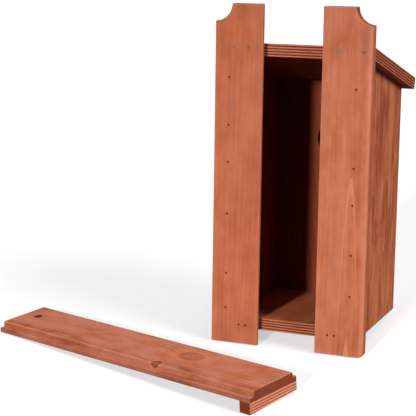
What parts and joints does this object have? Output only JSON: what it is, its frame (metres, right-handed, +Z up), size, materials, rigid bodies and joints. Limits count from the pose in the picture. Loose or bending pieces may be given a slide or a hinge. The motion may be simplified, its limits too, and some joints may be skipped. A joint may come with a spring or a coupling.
{
  "type": "birdhouse",
  "caption": "Wooden nest box of stained pine and birch plywood, open at the back, leaning on its rear boards, with the slide panel that carries it lying beside it",
  "frame": {"origin": "on the ground, under the middle of the whole: the box and the panel beside it", "axes": "+Z up, +Y from the rear boards towards the entrance hole and the roof's eave, +X to the right as seen from behind the box"},
  "size_m": [0.3686, 0.3484, 0.3316],
  "materials": {
    "board_pine": "red-brown stained pine, satin",
    "wall_pine": "red-brown stained pine, satin",
    "panel_pine": "red-brown stained pine, satin",
    "birch_plywood": "red-brown stained plywood with open edges",
    "nail_steel": "plain wire nails"
  },
  "bodies": {
    "nest_box": {"floor": "birch_plywood", "front_wall": "wall_pine", "left_back_board": "board_pine", "left_back_board_nail_1": "nail_steel", "left_back_board_nail_2": "nail_steel", "left_back_board_nail_3": "nail_steel", "left_back_board_nail_4": "nail_steel", "left_back_board_nail_5": "nail_steel", "left_back_board_nail_6": "nail_steel", "left_floor_rear_nail_1": "nail_steel", "left_floor_rear_nail_2": "nail_steel", "left_floor_side_nail_1": "nail_steel", "left_floor_side_nail_2": "nail_steel", "left_front_floor_nail": "nail_steel", "left_front_nail_1": "nail_steel", "left_front_nail_2": "nail_steel", "left_front_nail_3": "nail_steel", "left_front_nail_4": "nail_steel", "left_front_nail_5": "nail_steel", "left_roof_rear_nail_1": "nail_steel", "left_roof_rear_nail_2": "nail_steel", "left_roof_top_nail_1": "nail_steel", "left_roof_top_nail_2": "nail_steel", "left_roof_top_nail_3": "nail_steel", "left_side_wall": "wall_pine", "right_back_board": "board_pine", "right_back_board_nail_1": "nail_steel", "right_back_board_nail_2": "nail_steel", "right_back_board_nail_3": "nail_steel", "right_back_board_nail_4": "nail_steel", "right_back_board_nail_5": "nail_steel", "right_floor_rear_nail_1": "nail_steel", "right_floor_rear_nail_2": "nail_steel", "right_floor_side_nail_1": "nail_steel", "right_floor_side_nail_2": "nail_steel", "right_front_floor_nail": "nail_steel", "right_front_nail_1": "nail_steel", "right_front_nail_2": "nail_steel", "right_front_nail_3": "nail_steel", "right_front_nail_4": "nail_steel", "right_front_nail_5": "nail_steel", "right_roof_rear_nail_1": "nail_steel", "right_roof_rear_nail_2": "nail_steel", "right_roof_top_nail_1": "nail_steel", "right_roof_top_nail_2": "nail_steel", "right_roof_top_nail_3": "nail_steel", "right_side_wall": "wall_pine", "roof": "birch_plywood"},
    "panel": {"slide_panel": "panel_pine", "stop_batten": "birch_plywood", "batten_nail_1": "nail_steel", "batten_nail_2": "nail_steel"}
  },
  "joints": [
    {"name": "panel_lift", "type": "slide", "parent": "nest_box", "child": "panel", "axis": [0, 0, 1], "range_m": [0, 0.35]}
  ]
}
